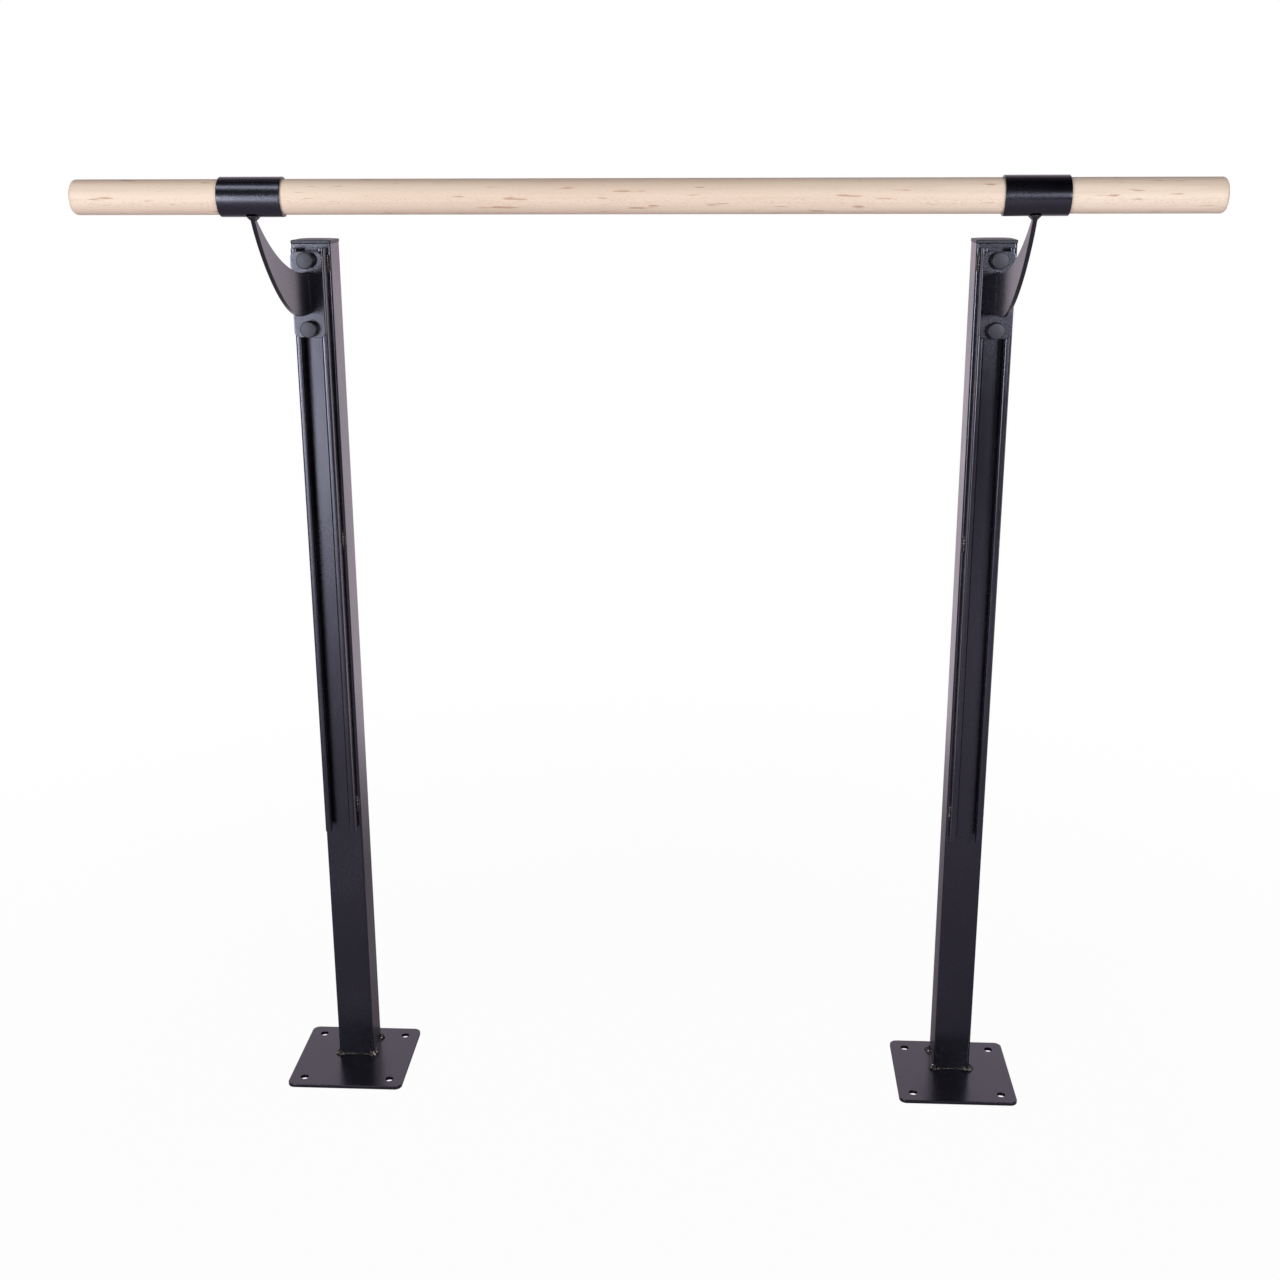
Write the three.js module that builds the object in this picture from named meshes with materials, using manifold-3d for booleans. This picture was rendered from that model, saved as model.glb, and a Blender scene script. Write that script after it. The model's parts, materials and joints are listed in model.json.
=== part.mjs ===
// A floor-mounted, height-adjustable ballet barre: two steel posts with lipped tracks
// welded to their fronts, and one beech handrail carried by two brackets that clamp
// anywhere along the tracks. Millimetres, +Z up, +X along the handrail, the brackets
// reach out towards -Y. The origin is on the floor, in the middle of the outline.

import * as THREE from 'three';
import { mergeVertices } from 'three/addons/utils/BufferGeometryUtils.js';
import Module from 'manifold-3d';

const wasm = await Module();
wasm.setup();

// ---------------------------------------------------------------- driving dimensions

const GAP = 0.3;                 // running and welding gap left between neighbours
const RAIL_SIDES = 48;           // facets round the rail and its collars
const BOLT_SIDES = 24;           // facets round bolts, washers and caps

const POST_SPACING = 850;        // centre to centre
const POST_SIZE = 50;            // square box section
const POST_WALL = 2;
const POST_CORNER = 3;
const POST_TOP = 1143;           // top of the steel tube

const BASE_SIZE = 160;
const BASE_THICK = 5;
const BASE_AHEAD = 30;           // the plate's middle, ahead of the post's centre line
const BASE_CORNER = 10;
const ANCHOR_PITCH = 120;        // square pattern of floor anchor holes
const ANCHOR_RADIUS = 5.5;

const CAP_SIZE = 51;             // push-in cap of the post
const CAP_HEAD = 4;
const CAP_DOME = 2;
const CAP_SPIGOT = 12;
const CAP_SPIGOT_WALL = 2;

const TRACK_WIDTH = 41;
const TRACK_DEPTH = 21;
const TRACK_WALL = 2.5;
const TRACK_SLOT = 25;           // clear opening between the lips
const TRACK_LIP = 7.5;           // how far the lips turn back inside
const TRACK_BOTTOM = 359;
const TRACK_TOP = 1138;
const TRACK_CORNER = 3.5;

const BEAD_LENGTH = 27;          // stitch welds of the track
const BEAD_LEG = 4.2;
const BEAD_HEIGHTS = { lower: 393, middle: 764, upper: 1120 };

const PLATE_WIDTH = 40;          // clamp plate of the bracket
const PLATE_HEIGHT = 105;
const PLATE_THICK = 5;
const PLATE_CORNER = 7;
const PLATE_TOP = 1134.5;
const BOLT_PITCH = 84;
const BOLT_HOLE_RADIUS = 5.5;

const RAIL_RADIUS = 19;
const RAIL_LENGTH = 1250;
const RAIL_ROUNDING = 5;
const RAIL_REACH = 270;          // ahead of the post's centre line
const RAIL_HEIGHT = 1205;

const COLLAR_RADIUS = 21.5;
const COLLAR_BORE = RAIL_RADIUS + GAP;
const COLLAR_LENGTH = 70;

const ARM_THICK = 5;
const ARM_FOOT = [1059, 1110];   // lowest and highest point where the arm meets its plate
const ARM_FLAT = [31, 2];        // straight run of the lower and the upper edge
const ARM_SWELL = [78, 31, 72];  // handles of the lower edge's curve: from the foot, and back
                                 // and up to the tip
const ARM_TIP = 15;              // width of the tip below the collar
const ARM_ARCH = 360;            // radius of the arched upper edge
const FOOT_WELD = 2.5;
const TIP_WELD = [4, 6];         // spread beside the tip, and depth below the collar

const BOLT_RADIUS = 5;           // M10 hexagon bolt
const BOLT_LENGTH = 25;
const HEX_FLATS = 16;
const HEX_HEIGHT = 6.4;
const WASHER_RADIUS = 9;
const WASHER_THICK = 1.6;
const NUT = [34, 8, 20];         // channel nut: width, thickness, height
const NUT_GROOVE = [3.5, 1];     // width and depth of the grooves that grip the lips
const BOLT_CAP_RADIUS = 10.25;
const BOLT_CAP_HEIGHT = 11;
const BOLT_CAP_BORE = 9.55;
const BOLT_CAP_ROOF = 2;

const SCREW_SHANK = [2, 20];     // radius and length of the screw that holds the rail
const SCREW_HEAD = [4, 2.6];
const SCREW_OFFSET = 20;         // beside the middle of the collar

// ---------------------------------------------------------------- derived places

const POST_Y = (RAIL_REACH + COLLAR_RADIUS + BASE_AHEAD - BASE_SIZE / 2) / 2;
const POST_FRONT = -POST_SIZE / 2;
const TRACK_FRONT = POST_FRONT - TRACK_DEPTH;
const PLATE_BACK = TRACK_FRONT - GAP;
const PLATE_FRONT = PLATE_BACK - PLATE_THICK;
const PLATE_MIDDLE = PLATE_TOP - PLATE_HEIGHT / 2;
const COLLAR_BOTTOM = RAIL_HEIGHT - COLLAR_RADIUS;
const BOLT_HEIGHTS = {
  lower: PLATE_MIDDLE - BOLT_PITCH / 2,
  upper: PLATE_MIDDLE + BOLT_PITCH / 2,
};
const SIDES = { left: -1, right: 1 };

// ---------------------------------------------------------------- materials

const paint = { color: 0x1d1c22, roughness: 0.42, metalness: 0.3 };
const weld = { color: 0x2a2829, roughness: 0.35, metalness: 0.5 };
const zinc = { color: 0xb4b8bc, roughness: 0.35, metalness: 1 };
const plastic = { color: 0x1b1b1e, roughness: 0.6, metalness: 0 };
const beech = { color: 0xe3cdb2, roughness: 0.5, metalness: 0 };

function piece(name, geometry, look) {
  const mesh = new THREE.Mesh(geometry, new THREE.MeshStandardMaterial(look));
  mesh.name = name;
  return mesh;
}

// ---------------------------------------------------------------- solids

function toSolid(geometry) {
  const bare = geometry.index ? geometry.toNonIndexed() : geometry.clone();
  bare.deleteAttribute('normal');
  bare.deleteAttribute('uv');
  const merged = mergeVertices(bare, 1e-4);
  return new wasm.Manifold(new wasm.Mesh({
    numProp: 3,
    vertProperties: new Float32Array(merged.attributes.position.array),
    triVerts: new Uint32Array(merged.index.array),
  }));
}

function toGeometry(solid) {
  const { vertProperties, triVerts } = solid.getMesh();
  const geometry = new THREE.BufferGeometry();
  geometry.setAttribute('position', new THREE.BufferAttribute(vertProperties, 3));
  geometry.setIndex(new THREE.BufferAttribute(triVerts, 1));
  return geometry;
}

function box(width, depth, height, x = 0, y = 0, z = 0) {
  return new THREE.BoxGeometry(width, depth, height).translate(x, y, z);
}

// Round bar along Y, centred on the origin.
function roundBar(radius, length, sides = BOLT_SIDES) {
  return new THREE.CylinderGeometry(radius, radius, length, sides);
}

function roundedRectangle(width, height, corner, outline = new THREE.Shape()) {
  const x = width / 2;
  const y = height / 2;
  outline.moveTo(x - corner, -y);
  outline.absarc(x - corner, -y + corner, corner, -Math.PI / 2, 0);
  outline.absarc(x - corner, y - corner, corner, 0, Math.PI / 2);
  outline.absarc(-x + corner, y - corner, corner, Math.PI / 2, Math.PI);
  outline.absarc(-x + corner, -y + corner, corner, Math.PI, 1.5 * Math.PI);
  return outline;
}

function roundHole(x, y, radius) {
  return new THREE.Path().absarc(x, y, radius, 0, 2 * Math.PI);
}

// Pushes an outline up along Z from the given level.
function extrude(outline, bottom, height, curveSegments = 4) {
  const geometry = new THREE.ExtrudeGeometry(outline, {
    depth: height, bevelEnabled: false, curveSegments,
  });
  return geometry.translate(0, 0, bottom);
}

// ---------------------------------------------------------------- the stand

function basePlate() {
  const outline = roundedRectangle(BASE_SIZE, BASE_SIZE, BASE_CORNER);
  for (const x of [-ANCHOR_PITCH / 2, ANCHOR_PITCH / 2]) {
    for (const y of [-ANCHOR_PITCH / 2, ANCHOR_PITCH / 2]) {
      outline.holes.push(roundHole(x, y, ANCHOR_RADIUS));
    }
  }
  return extrude(outline, 0, BASE_THICK, 6).translate(0, -BASE_AHEAD, 0);
}

function postTube() {
  const outline = roundedRectangle(POST_SIZE, POST_SIZE, POST_CORNER);
  const inside = POST_SIZE - 2 * POST_WALL;
  outline.holes.push(roundedRectangle(inside, inside, POST_CORNER - POST_WALL, new THREE.Path()));
  return extrude(outline, BASE_THICK, POST_TOP - BASE_THICK, 3);
}

// A thin bead round the foot of the post, with a lump where the tacks were set at its corners.
function footWeld() {
  const leg = 3;
  const halfDiagonal = (POST_SIZE / 2 + leg) * Math.SQRT2;
  const frame = new THREE.CylinderGeometry(POST_SIZE / Math.SQRT2, halfDiagonal, leg, 4)
    .rotateX(Math.PI / 2)
    .rotateZ(Math.PI / 4)
    .translate(0, 0, BASE_THICK + GAP + leg / 2);
  let solid = toSolid(frame);
  const corner = POST_SIZE / 2 + 0.5;
  for (const x of [-corner, corner]) {
    for (const y of [-corner, corner]) {
      const lump = new THREE.IcosahedronGeometry(5, 1).scale(1, 1, 1.1).translate(x, y, BASE_THICK + 1);
      solid = solid.add(toSolid(lump));
    }
  }
  const hollow = POST_SIZE + 2 * GAP;
  const tall = 100;
  solid = solid.subtract(toSolid(box(hollow, hollow, tall, 0, 0, BASE_THICK)));
  solid = solid.subtract(toSolid(box(tall, tall, tall, 0, 0, BASE_THICK + GAP - tall / 2)));
  return toGeometry(solid);
}

function postCap() {
  const head = extrude(roundedRectangle(CAP_SIZE, CAP_SIZE, POST_CORNER), POST_TOP, CAP_HEAD, 3);
  const dome = new THREE.CylinderGeometry(
    (CAP_SIZE / 2 - 8) * Math.SQRT2, (CAP_SIZE / 2 - 2) * Math.SQRT2, CAP_DOME + 1, 4,
  ).rotateX(Math.PI / 2).rotateZ(Math.PI / 4).translate(0, 0, POST_TOP + CAP_HEAD + (CAP_DOME - 1) / 2);
  const outside = POST_SIZE - 2 * POST_WALL - 2 * GAP;
  const inside = outside - 2 * CAP_SPIGOT_WALL;
  const spigot = roundedRectangle(outside, outside, 1.5);
  spigot.holes.push(roundedRectangle(inside, inside, 1, new THREE.Path()));
  const skirt = extrude(spigot, POST_TOP - CAP_SPIGOT, CAP_SPIGOT + 1, 2);
  return toGeometry(toSolid(head).add(toSolid(dome)).add(toSolid(skirt)));
}

// Half of the lipped channel's section, from the middle of its back round to the lip's edge
// and back along the inside; the other half is its mirror image.
function trackHalf(sign, inward) {
  const half = TRACK_WIDTH / 2;
  const slot = TRACK_SLOT / 2;
  const t = TRACK_WALL;
  const round = TRACK_CORNER;
  const front = TRACK_FRONT;
  const back = POST_FRONT;
  const arc = (x, y, radius, from, to) => {
    const steps = 4;
    return Array.from({ length: steps + 1 }, (_, i) => {
      const angle = THREE.MathUtils.degToRad(from + (to - from) * i / steps);
      return [x + radius * Math.cos(angle), y + radius * Math.sin(angle)];
    });
  };
  const outer = [
    ...arc(half - round, back - round, round, 90, 0),
    ...arc(half - round, front + round, round, 0, -90),
    ...arc(slot + round, front + round, round, -90, -180),
    [slot, front + TRACK_LIP],
  ];
  const inner = [
    ...arc(half - round, back - round, round - t, 90, 0),
    ...arc(half - round, front + round, round - t, 0, -90),
    ...arc(slot + round, front + round, round - t, -90, -180),
    [slot + t, front + TRACK_LIP],
  ];
  const points = inward ? inner.reverse() : outer;
  return points.map(([x, y]) => new THREE.Vector2(sign * x, y));
}

function track() {
  const right = [...trackHalf(1, false), ...trackHalf(1, true)];
  const left = [...trackHalf(-1, false), ...trackHalf(-1, true)].reverse();
  const outline = new THREE.Shape([...right, ...left]);
  return extrude(outline, TRACK_BOTTOM, TRACK_TOP - TRACK_BOTTOM);
}

// A stitch weld: a quarter of a long, narrow ball in the corner between track and post.
function stitch(sign, height) {
  const ball = new THREE.SphereGeometry(1, 16, 8)
    .scale(BEAD_LEG, BEAD_LEG + 1, BEAD_LENGTH / 2)
    .translate(sign * TRACK_WIDTH / 2, POST_FRONT, height);
  const quarter = box(
    20, 20, BEAD_LENGTH + 2,
    sign * (TRACK_WIDTH / 2 + GAP + 10), POST_FRONT - GAP - 10, height,
  );
  return toGeometry(toSolid(ball).intersect(toSolid(quarter)));
}

function stand(side) {
  const group = new THREE.Group();
  group.position.set(SIDES[side] * POST_SPACING / 2, POST_Y, 0);
  group.add(
    piece(`base_plate_${side}`, basePlate(), paint),
    piece(`post_${side}`, postTube(), paint),
    piece(`post_foot_weld_${side}`, footWeld(), weld),
    piece(`post_cap_${side}`, postCap(), plastic),
    piece(`track_${side}`, track(), paint),
  );
  for (const [place, height] of Object.entries(BEAD_HEIGHTS)) {
    group.add(
      piece(`track_weld_${place}_outer_${side}`, stitch(SIDES[side], height), weld),
      piece(`track_weld_${place}_inner_${side}`, stitch(-SIDES[side], height), weld),
    );
  }
  return group;
}

// ---------------------------------------------------------------- the bracket

// Turns an outline drawn as (x, z) into a plate that is thick along Y.
function upright(outline, back, thick) {
  return extrude(outline, 0, thick, 6).rotateX(Math.PI / 2).translate(0, back, 0);
}

function clampPlate() {
  const outline = roundedRectangle(PLATE_WIDTH, PLATE_HEIGHT, PLATE_CORNER);
  for (const y of [-BOLT_PITCH / 2, BOLT_PITCH / 2]) {
    outline.holes.push(roundHole(0, y, BOLT_HOLE_RADIUS));
  }
  return upright(outline, PLATE_BACK, PLATE_THICK).translate(0, 0, PLATE_MIDDLE);
}

// The horn-shaped arm, drawn as (distance ahead of the plate, height) and extruded across.
function arm(thick = ARM_THICK) {
  const reach = RAIL_REACH + PLATE_FRONT;
  const tip = COLLAR_BOTTOM - GAP;
  const [foot, shoulder] = ARM_FOOT;
  const [lowerFlat, upperFlat] = ARM_FLAT;
  const [ahead, back, up] = ARM_SWELL;
  const tipFront = reach + ARM_TIP / 2;
  const rise = tip - shoulder;
  const archTop = upperFlat + Math.sqrt(ARM_ARCH ** 2 - (ARM_ARCH - rise) ** 2);
  const archEnd = Math.atan2(-(ARM_ARCH - rise), archTop - upperFlat);
  const outline = new THREE.Shape();
  outline.moveTo(GAP, foot);
  outline.lineTo(lowerFlat, foot);
  outline.bezierCurveTo(lowerFlat + ahead, foot, tipFront - back, foot + up, tipFront, tip);
  outline.lineTo(archTop, tip);
  outline.absarc(upperFlat, shoulder + ARM_ARCH, ARM_ARCH, archEnd, -Math.PI / 2, true);
  outline.lineTo(GAP, shoulder);
  return extrude(outline, -thick / 2, thick, 14)
    .rotateX(Math.PI / 2)
    .rotateZ(-Math.PI / 2)
    .translate(0, PLATE_FRONT, 0);
}

// Fillet down one side of the arm's foot.
function armFootWeld(sign) {
  const x = sign * (ARM_THICK / 2 + GAP);
  const y = PLATE_FRONT - GAP;
  const outline = new THREE.Shape([
    new THREE.Vector2(x, y),
    new THREE.Vector2(x, y - FOOT_WELD),
    new THREE.Vector2(x + sign * FOOT_WELD, y),
  ]);
  const [foot, shoulder] = ARM_FOOT;
  return extrude(outline, foot + 1, shoulder - foot - 2);
}

function collar() {
  const half = COLLAR_LENGTH / 2;
  const edge = 0.6;
  const profile = [
    [COLLAR_BORE, -half], [COLLAR_RADIUS - edge, -half], [COLLAR_RADIUS, -half + edge],
    [COLLAR_RADIUS, half - edge], [COLLAR_RADIUS - edge, half], [COLLAR_BORE, half],
    [COLLAR_BORE, -half],
  ].map(([r, y]) => new THREE.Vector2(r, y));
  const tube = new THREE.LatheGeometry(profile, RAIL_SIDES).rotateZ(Math.PI / 2);
  return toGeometry(toSolid(tube).subtract(screwHole()));
}

// The fillet that runs round the arm's tip, below the collar. The room for the tip inside it
// is the arm itself, a little thicker, pushed a little forwards and backwards.
function tipWeld() {
  const [spread, depth] = TIP_WELD;
  const top = COLLAR_BOTTOM + 2;
  const width = ARM_THICK + 2 * spread;
  const block = new THREE.CylinderGeometry(Math.SQRT1_2, 0.6 * Math.SQRT1_2, depth + 2, 4)
    .rotateX(Math.PI / 2)
    .rotateZ(Math.PI / 4)
    .scale(width, ARM_TIP + 2 * spread, 1)
    .translate(0, -RAIL_REACH, top - (depth + 2) / 2);
  const bar = roundBar(COLLAR_RADIUS + GAP, 2 * width, RAIL_SIDES)
    .rotateZ(Math.PI / 2)
    .translate(0, -RAIL_REACH, RAIL_HEIGHT);
  let solid = toSolid(block).subtract(toSolid(bar));
  const room = toSolid(arm(ARM_THICK + 2 * GAP));
  for (const shift of [-2 * GAP, 0, 2 * GAP]) {
    solid = solid.subtract(room.translate([0, shift, 0]));
  }
  return toGeometry(solid);
}

// Screw hole through the collar's back into the rail, about the rail's own axis.
function screwHole() {
  const [radius, length] = SCREW_SHANK;
  const depth = length + 2;
  return toSolid(roundBar(radius + GAP, depth + 5).translate(
    SCREW_OFFSET, COLLAR_RADIUS + 5 - (depth + 5) / 2, 0,
  ));
}

function railScrew() {
  const [radius, length] = SCREW_SHANK;
  const [headRadius, headHeight] = SCREW_HEAD;
  const seat = COLLAR_RADIUS + GAP;
  const profile = [
    [0, seat - length], [radius, seat - length + 3], [radius, seat], [headRadius, seat],
    [headRadius, seat + headHeight / 2], [headRadius / 2, seat + headHeight], [0, seat + headHeight],
  ].map(([r, y]) => new THREE.Vector2(r, y));
  return new THREE.LatheGeometry(profile, 16);
}

// ---------------------------------------------------------------- the clamp bolts

// Block nut behind the lips, with a groove over each lip and a bore for the bolt.
function channelNut() {
  const [width, thick, height] = NUT;
  const [grooveWidth, grooveDepth] = NUT_GROOVE;
  const lip = TRACK_SLOT / 2 + TRACK_WALL / 2;
  const front = TRACK_FRONT + TRACK_LIP + GAP;
  let solid = toSolid(box(width, thick, height, 0, front + thick / 2, 0));
  for (const x of [-lip, lip]) {
    solid = solid.subtract(toSolid(box(grooveWidth, 2 * grooveDepth, 2 * height, x, front, 0)));
  }
  const bore = roundBar(BOLT_RADIUS + GAP, 3 * thick).translate(0, front, 0);
  return toGeometry(solid.subtract(toSolid(bore)));
}

function ring(inner, outer, back, thick) {
  const profile = [[inner, 0], [outer, 0], [outer, thick], [inner, thick], [inner, 0]]
    .map(([r, y]) => new THREE.Vector2(r, y));
  return new THREE.LatheGeometry(profile, BOLT_SIDES).translate(0, back - thick, 0);
}

function washer() {
  return ring(BOLT_RADIUS + GAP, WASHER_RADIUS, PLATE_FRONT, WASHER_THICK);
}

function clampBolt() {
  const seat = PLATE_FRONT - WASHER_THICK;
  const shank = roundBar(BOLT_RADIUS, BOLT_LENGTH + 1).translate(0, seat + (BOLT_LENGTH - 1) / 2, 0);
  const corner = HEX_FLATS / 2 / Math.cos(Math.PI / 6);
  const head = new THREE.CylinderGeometry(corner, corner, HEX_HEIGHT, 6)
    .translate(0, seat - HEX_HEIGHT / 2, 0);
  return toGeometry(toSolid(head).add(toSolid(shank)));
}

// Round cover cap: a cup that opens towards the plate.
function boltCap() {
  const mouth = PLATE_FRONT - GAP;
  const end = PLATE_FRONT - BOLT_CAP_HEIGHT;
  const edge = 1;
  const profile = [
    [0, end], [BOLT_CAP_RADIUS - edge, end], [BOLT_CAP_RADIUS, end + edge],
    [BOLT_CAP_RADIUS, mouth], [BOLT_CAP_BORE, mouth], [BOLT_CAP_BORE, end + BOLT_CAP_ROOF],
    [0, end + BOLT_CAP_ROOF],
  ].map(([r, y]) => new THREE.Vector2(r, y));
  return new THREE.LatheGeometry(profile, BOLT_SIDES);
}

function bracket(side) {
  const group = new THREE.Group();
  group.position.set(SIDES[side] * POST_SPACING / 2, POST_Y, 0);
  group.add(
    piece(`bracket_plate_${side}`, clampPlate(), paint),
    piece(`bracket_arm_${side}`, arm(), paint),
    piece(`arm_foot_weld_outer_${side}`, armFootWeld(SIDES[side]), weld),
    piece(`arm_foot_weld_inner_${side}`, armFootWeld(-SIDES[side]), weld),
    piece(`arm_tip_weld_${side}`, tipWeld(), weld),
  );
  const aboutRail = new THREE.Group();
  aboutRail.position.set(0, -RAIL_REACH, RAIL_HEIGHT);
  const screw = piece(`rail_screw_${side}`, railScrew(), zinc);
  screw.position.x = SCREW_OFFSET;
  aboutRail.add(piece(`rail_collar_${side}`, collar(), paint), screw);
  group.add(aboutRail);
  for (const [place, height] of Object.entries(BOLT_HEIGHTS)) {
    const aboutBolt = new THREE.Group();
    aboutBolt.position.z = height;
    aboutBolt.add(
      piece(`channel_nut_${place}_${side}`, channelNut(), zinc),
      piece(`washer_${place}_${side}`, washer(), zinc),
      piece(`clamp_bolt_${place}_${side}`, clampBolt(), zinc),
      piece(`bolt_cap_${place}_${side}`, boltCap(), plastic),
    );
    group.add(aboutBolt);
  }
  return group;
}

// ---------------------------------------------------------------- the handrail

function handrail() {
  const half = RAIL_LENGTH / 2;
  const steps = 4;
  const rounding = (end) => Array.from({ length: steps + 1 }, (_, i) => {
    const angle = Math.PI / 2 * (end < 0 ? i : steps - i) / steps;
    return [
      RAIL_RADIUS - RAIL_ROUNDING + RAIL_ROUNDING * Math.sin(angle),
      end * (half - RAIL_ROUNDING + RAIL_ROUNDING * Math.cos(angle)),
    ];
  });
  const profile = [[0, -half], ...rounding(-1), ...rounding(1), [0, half]]
    .map(([r, y]) => new THREE.Vector2(r, y));
  let solid = toSolid(new THREE.LatheGeometry(profile, RAIL_SIDES).rotateZ(Math.PI / 2));
  for (const sign of Object.values(SIDES)) {
    solid = solid.subtract(screwHole().translate([sign * POST_SPACING / 2, 0, 0]));
  }
  const mesh = piece('handrail', toGeometry(solid), beech);
  mesh.position.set(0, POST_Y - RAIL_REACH, RAIL_HEIGHT);
  return mesh;
}

const barre = new THREE.Group();
for (const side of Object.keys(SIDES)) {
  barre.add(stand(side), bracket(side));
}
barre.add(handrail());

export default barre;
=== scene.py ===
# %% [markdown]
# # A floor-mounted ballet barre
# Two black steel posts stand on bolted plates. Each carries a lipped track on its front, and
# a horn-shaped bracket clamps anywhere along it. One beech handrail joins the two brackets.
# The design is already exact in the frame that is loaded here. This lesson gives every piece
# its fine shape and its finish, and never moves anything.

# %% Load the frame
import json

import bmesh
import bpy
import numpy as np
from mathutils import Matrix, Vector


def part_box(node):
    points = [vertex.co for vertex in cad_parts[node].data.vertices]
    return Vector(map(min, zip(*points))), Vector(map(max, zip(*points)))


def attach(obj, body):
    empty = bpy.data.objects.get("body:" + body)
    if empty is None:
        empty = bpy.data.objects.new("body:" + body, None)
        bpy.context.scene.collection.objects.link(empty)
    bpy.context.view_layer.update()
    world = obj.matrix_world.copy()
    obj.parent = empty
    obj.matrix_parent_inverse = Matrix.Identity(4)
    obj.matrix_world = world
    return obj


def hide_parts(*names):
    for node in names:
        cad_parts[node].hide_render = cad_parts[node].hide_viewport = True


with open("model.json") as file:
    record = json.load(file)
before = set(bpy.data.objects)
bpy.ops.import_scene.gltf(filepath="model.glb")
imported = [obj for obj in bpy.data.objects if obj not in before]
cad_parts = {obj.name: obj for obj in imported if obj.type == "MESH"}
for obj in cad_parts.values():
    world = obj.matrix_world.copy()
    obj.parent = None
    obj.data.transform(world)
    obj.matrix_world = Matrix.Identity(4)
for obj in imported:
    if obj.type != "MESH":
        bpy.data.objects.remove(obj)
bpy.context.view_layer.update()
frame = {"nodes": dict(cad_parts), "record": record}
record = frame["record"]
bodies = record["behaviour"]["bodies"]
body_holding = {node: body for body, nodes in bodies.items() for node in nodes}

# %% [markdown]
# ## The studio
# A product picture needs a pale floor without an edge, a bright surround and soft light.
# The surround could be a curved paper sheet, but a sheet would stand in the way of a camera
# that looks from behind. A world shader has no back side: it is white behind the barre, which
# gives the side faces of the posts their pale sheen, and dark in front, where a real studio
# is open and unlit. The camera itself always sees it white.

# %% A short way to build node trees
MM = 0.001


class Nodes:
    """A node tree that is being wired: each method makes a node and returns it or its output."""

    def __init__(self, tree):
        self.tree = tree
        self.tree.nodes.clear()

    def fill(self, sockets, values):
        """Sets each socket to its value, or joins it to another node's output."""
        for socket, value in zip(sockets, values):
            if isinstance(value, bpy.types.NodeSocket):
                self.tree.links.new(value, socket)
            else:
                socket.default_value = value

    def add(self, kind, inputs=None, **settings):
        node = self.tree.nodes.new("ShaderNode" + kind)
        for name, value in settings.items():
            setattr(node, name, value)
        inputs = inputs or {}
        self.fill([node.inputs[name] for name in inputs], inputs.values())
        return node

    def noise(self, where, scale, detail=3.0, roughness=0.5):
        """Cloudy grey values, with about `scale` lumps to a metre."""
        inputs = {"Vector": where, "Scale": scale, "Detail": detail, "Roughness": roughness}
        return self.add("TexNoise", inputs).outputs["Fac"]

    def stretched(self, where, scale):
        """The same places, seen longer or shorter along each axis."""
        return self.add("Mapping", {"Vector": where, "Scale": scale}).outputs["Vector"]

    def ramp(self, value, stops):
        """Turns a grey value into colours: stops are (position, colour) pairs."""
        node = self.add("ValToRGB", {"Fac": value})
        for index, (position, colour) in enumerate(stops):
            elements = node.color_ramp.elements
            stop = elements[index] if index < 2 else elements.new(position)
            stop.position = position
            stop.color = (*colour, 1.0)
        return node.outputs["Color"]

    def spread(self, value, low, high, start=0.0, end=1.0):
        """Maps values from start..end to low..high, and holds them there outside it."""
        inputs = {"Value": value, "From Min": start, "From Max": end,
                  "To Min": low, "To Max": high}
        return self.add("MapRange", inputs).outputs["Result"]

    def math(self, operation, a, b=0.5):
        node = self.add("Math", operation=operation)
        self.fill(node.inputs, (a, b))
        return node.outputs["Value"]

    def blend(self, amount, a, b):
        """Colour a where amount is 0 and colour b where it is 1."""
        node = self.add("Mix", data_type="RGBA")
        self.fill([node.inputs[0], node.inputs[6], node.inputs[7]], (amount, a, b))
        return node.outputs[2]

    def mix(self, amount, a, b):
        """Shader a where amount is 0 and shader b where it is 1."""
        node = self.add("MixShader", {"Fac": amount})
        self.fill(node.inputs[1:], (a.outputs[0], b.outputs[0]))
        return node


# %% The surround
SURROUND_BEHIND = 0.95    # strength of the glow behind the barre, and in front of it
SURROUND_AHEAD = 0.02
PINKISH_WHITE = (1.0, 0.87, 0.98, 1.0)
WHITE = (1.0, 1.0, 1.0, 1.0)

world = bpy.data.worlds.new("studio surround")
world.use_nodes = True
bpy.context.scene.world = world
sky = Nodes(world.node_tree)
direction = sky.add("TexCoord").outputs["Generated"]
direction = sky.add("SeparateXYZ", {"Vector": direction})
behind = sky.spread(direction.outputs["Y"], SURROUND_AHEAD, SURROUND_BEHIND, -0.05, 0.40)
not_above = sky.spread(direction.outputs["Z"], 1.0, 0.15, 0.55, 0.90)
strength = sky.math("MULTIPLY", behind, not_above)
lit = sky.add("Background", {"Color": PINKISH_WHITE, "Strength": strength})
seen = sky.add("Background", {"Color": WHITE, "Strength": 1.0})
either = sky.mix(sky.add("LightPath").outputs["Is Camera Ray"], lit, seen)
sky.add("OutputWorld", {"Surface": either.outputs[0]})
bpy.context.scene.view_settings.view_transform = "Standard"
print("surround:", SURROUND_BEHIND, "behind,", SURROUND_AHEAD, "ahead")

# %% [markdown]
# ## Points, faces and meshes
# Every new piece is a grid of points: rows by columns, worked out as whole arrays. The faces
# follow from the grid's size alone. Where a direction closes on itself, the last row or column
# joins the first. Points that land on each other, as at a pole or a seam, are merged, and the
# faces are turned outwards, so each piece ends as one closed skin.

# %% From a grid of points to a piece
SIDES = ("left", "right")


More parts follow.
